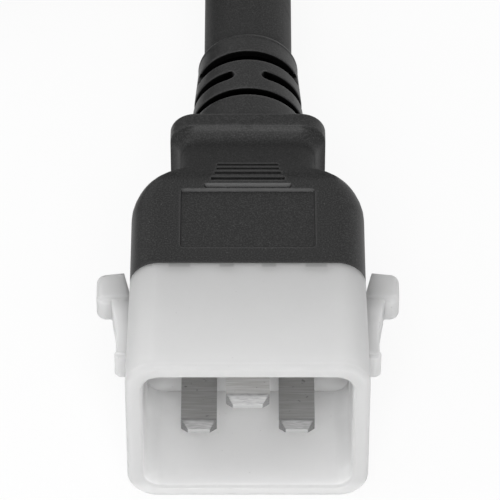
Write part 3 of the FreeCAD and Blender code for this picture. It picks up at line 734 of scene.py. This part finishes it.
@dataclass
class CableRun:
    """The cable: out of the plug, down to the floor, round its coil and up into the connector."""
    diameter: float = 12.5 * MM
    length: float = 1.83
    axis_height: float = 12.6 * MM
    # Lead, from the sheath's end inside the plug down to the coil
    plug_sheath_y: float = 10.05 * MM
    plug_exit_y: float = 35.05 * MM
    lead_level_y: float = 58.0 * MM
    lead_slope_y: float = 98.0 * MM
    lead_slope_height: float = 8.9 * MM
    lead_floor_y: float = 128.0 * MM
    # Tail, from the coil to the sheath's end inside the connector
    tail_slope_y: float = 120.0 * MM
    tail_slope_height: float = 17.0 * MM
    tail_level_y: float = 98.0 * MM
    connector_sheath_y: float = 52.3 * MM
    # Coil: the radii of its two columns, and how the turns pass over the strap
    coil_y: float = 142.0 * MM
    outer: float = 81.25 * MM
    inner: float = 68.75 * MM
    points_per_turn: int = 16
    turns: float = 3.5
    strap_lift: float = 1.2 * MM
    strap_at: float = 90.0
    strap_fade: Range = (14.0, 50.0)
    # Degrees of winding over which the cable moves in, up a layer and out again
    move_in: Range = (290.0, 362.0)
    move_up: Range = (580.0, 655.0)
    move_out: Range = (885.0, 955.0)
    # Fineness of the drawn line
    line_order: int = 3
    line_steps: int = 6
    round_steps: int = 8

    @staticmethod
    def _ease(value: float, start: float, end: float) -> float:
        """Smooth step from 0 at start to 1 at end."""
        share = min(max((value - start) / (end - start), 0.0), 1.0)
        return share * share * (3.0 - 2.0 * share)

    def _coil_point(self, degrees: float) -> Vector:
        """Control point of the coil after so many degrees of winding.

        Args:
            degrees: how far the cable has been wound, from where it reaches the coil.

        Returns:
            The point, a little outside the turn, because the line runs inside its control points.
        """
        inward = self._ease(degrees, *self.move_in) - self._ease(degrees, *self.move_out)
        radius = self.outer + (self.inner - self.outer) * inward
        layer = self._ease(degrees, *self.move_up)
        strap = 1.0 - self._ease(abs(degrees % 360.0 - self.strap_at), *self.strap_fade)
        height = self.diameter * (0.5 + layer) + self.strap_lift * strap
        reach = radius / math.cos(math.pi / self.points_per_turn)
        turn = math.radians(degrees)
        return Vector((-self.outer + reach * math.cos(turn), self.coil_y + reach * math.sin(turn), height))

    def route(self) -> list[Vector]:
        """Every control point of the cable's line, in order."""
        lead = [(0.0, self.plug_sheath_y, self.axis_height), (0.0, self.lead_level_y, self.axis_height),
                (0.0, self.lead_slope_y, self.lead_slope_height), (0.0, self.lead_floor_y, self.diameter / 2)]
        step = 360.0 / self.points_per_turn
        count = int(self.turns * self.points_per_turn)
        coil = [self._coil_point(step * (index + 0.5)) for index in range(count)]
        far_x = -2.0 * self.outer
        tail = [(far_x, self.tail_slope_y, self.tail_slope_height), (far_x, self.tail_level_y, self.axis_height),
                (far_x, self.connector_sheath_y, self.axis_height)]
        return [Vector(point) for point in lead] + coil + [Vector(point) for point in tail]

    def build(self, wardrobe: Wardrobe, on_cable: list[bpy.types.Object]) -> bpy.types.Object:
        """Lays the cable along its route.

        Args:
            wardrobe: where the finish comes from.
            on_cable: the pieces at its far end and round its coil; not used.

        Returns:
            The cable.
        """
        curve = bpy.data.curves.new("cable", "CURVE")
        curve.dimensions = "3D"
        points = self.route()
        line = curve.splines.new("NURBS")
        line.points.add(len(points) - 1)
        for point, place in zip(line.points, points):
            point.co = (*place, 1.0)
        line.order_u = self.line_order
        line.use_endpoint_u = True
        line.resolution_u = self.line_steps
        curve.bevel_depth = self.diameter / 2
        curve.bevel_resolution = self.round_steps
        curve.use_fill_caps = True
        cable = bpy.data.objects.new("cable", curve)
        bpy.context.scene.collection.objects.link(cable)
        wardrobe.dress(cable, SHEATH)
        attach(cable, Body.CORD.value)
        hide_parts("cable_lead", "cable_coil", "cable_tail")
        return cable


@dataclass(frozen=True)
class Lamp:
    """A soft square lamp that faces the plug, in metres and watts."""
    label: str
    place: Triple
    size: float
    power: float

    def build(self) -> None:
        """Hangs the lamp."""
        data = bpy.data.lights.new(self.label, "AREA")
        data.size = self.size
        data.energy = self.power
        lamp = bpy.data.objects.new(self.label, data)
        lamp.location = self.place
        lamp.rotation_euler = (-Vector(self.place)).to_track_quat("-Z", "Y").to_euler()
        bpy.context.scene.collection.objects.link(lamp)


LAMPS = (Lamp("key", (-0.10, -0.10, 0.84), 0.7, 2.2),
         Lamp("front", (0.01, -0.645, 0.485), 0.4, 4.2),
         Lamp("side", (-0.55, 0.05, 0.36), 0.4, 0.85),
         Lamp("fill", (0.55, 0.05, 0.20), 0.4, 0.25))


@dataclass
class Studio:
    """The photograph's camera, a pale floor and soft light."""
    camera_place: Vector = field(default_factory=lambda: Vector((0.29, -409.71, 418.68)) * MM)
    camera_tilt: float = math.radians(45.14)
    camera_reach: float = 10.0
    lens: float = 302.6
    floor_half: float = 3.0
    floor_drop: float = 0.05 * MM
    floor_tone: float = 0.85
    floor_rough: float = 0.9
    floor_glow: float = 0.90
    room_light: float = 0.30

    def build(self) -> None:
        """Sets up the whole studio."""
        self._camera()
        self._floor()
        self._world()
        for lamp in LAMPS:
            lamp.build()
        bpy.context.scene.view_settings.view_transform = "Standard"

    def _camera(self) -> None:
        """Puts the camera where the fit to the photograph has it."""
        data = bpy.data.cameras.new("camera")
        data.lens = self.lens
        data.clip_end = self.camera_reach
        camera = bpy.data.objects.new("camera", data)
        camera.location = self.camera_place
        camera.rotation_euler = (self.camera_tilt, 0.0, 0.0)
        bpy.context.scene.collection.objects.link(camera)
        bpy.context.scene.camera = camera

    @staticmethod
    def _seen(bench: Bench) -> Shade:
        """1 for rays that the camera, gloss or glass sends, and 0 for light that falls on things."""
        rays = [bench.node("ShaderNodeLightPath", {}, {}, name) for name in SEEN_RAYS]
        return bench.node("ShaderNodeClamp", {}, {"Value": sum(rays)})

    def _floor(self) -> None:
        """Lays a pale floor that keeps a soft shadow."""
        sheet = bmesh.new()
        bmesh.ops.create_grid(sheet, x_segments=1, y_segments=1, size=self.floor_half)
        bmesh.ops.translate(sheet, verts=sheet.verts, vec=(0.0, 0.0, -self.floor_drop))
        mesh = bpy.data.meshes.new("floor")
        sheet.to_mesh(mesh)
        sheet.free()
        floor = bpy.data.objects.new("floor", mesh)
        bpy.context.scene.collection.objects.link(floor)
        bench = Bench("pale_floor")
        bench.surface(Base_Color=grey(self.floor_tone), Roughness=self.floor_rough)
        glow = bench.node("ShaderNodeEmission", {}, {"Color": grey(1.0), "Strength": 1.0})
        blend = bench.node("ShaderNodeMixShader", {}, {0: self._seen(bench) * self.floor_glow, 2: glow})
        bench.tree.links.new(bench.shader.outputs[0], blend.socket.node.inputs[1])
        bench.tree.links.new(blend.socket, bench.tree.nodes["Material Output"].inputs["Surface"])
        mesh.materials.append(bench.material)

    def _world(self) -> None:
        """Surrounds the part with even light and a white backdrop."""
        world = bpy.data.worlds.new("white_room")
        world.use_nodes = True
        bpy.context.scene.world = world
        background = world.node_tree.nodes["Background"]
        background.inputs["Color"].default_value = grey(1.0)
        path = world.node_tree.nodes.new("ShaderNodeLightPath")
        first, *others = SEEN_RAYS
        shown = path.outputs[first]
        for ray in others:
            either = world.node_tree.nodes.new("ShaderNodeMath")
            either.operation = "MAXIMUM"
            world.node_tree.links.new(shown, either.inputs[0])
            world.node_tree.links.new(path.outputs[ray], either.inputs[1])
            shown = either.outputs[0]
        level = world.node_tree.nodes.new("ShaderNodeMapRange")
        level.inputs["To Min"].default_value = self.room_light
        world.node_tree.links.new(shown, level.inputs["Value"])
        world.node_tree.links.new(level.outputs[0], background.inputs["Strength"])


def main() -> None:
    """Builds the studio and dresses the part, sub-assembly by sub-assembly."""
    wardrobe = Wardrobe()
    Studio().build()
    for solid in (SolidPiece("shroud_insert", Body.CORD, NYLON),
                  SolidPiece("plug_grip", Body.CORD, VINYL),
                  SolidPiece("latch_left", Body.LEFT_LATCH, LATCH_NYLON),
                  SolidPiece("latch_right", Body.RIGHT_LATCH, LATCH_NYLON),
                  SolidPiece("line_blade", Body.CORD, NICKEL),
                  SolidPiece("neutral_blade", Body.CORD, NICKEL),
                  SolidPiece("earth_blade", Body.CORD, EARTH_NICKEL)):
        solid.build(wardrobe)
    HiddenPieces({"plug_line_core": LINE_CORE, "plug_neutral_core": NEUTRAL_CORE,
                  "plug_earth_core": EARTH_CORE}).build(wardrobe)
    on_cable = [SolidPiece("connector_grip", Body.CORD, VINYL).build(wardrobe),
                SolidPiece("connector_core", Body.CORD, HARD_CORE).build(wardrobe),
                SolidPiece("coil_tie", Body.CORD, STRAP).build(wardrobe)]
    on_cable += HiddenPieces({"line_contact": BRASS, "neutral_contact": BRASS, "earth_contact": BRASS,
                              "connector_line_core": LINE_CORE, "connector_neutral_core": NEUTRAL_CORE,
                              "connector_earth_core": EARTH_CORE}).build(wardrobe)
    CableRun().build(wardrobe, on_cable)


if __name__ == "__main__":
    main()
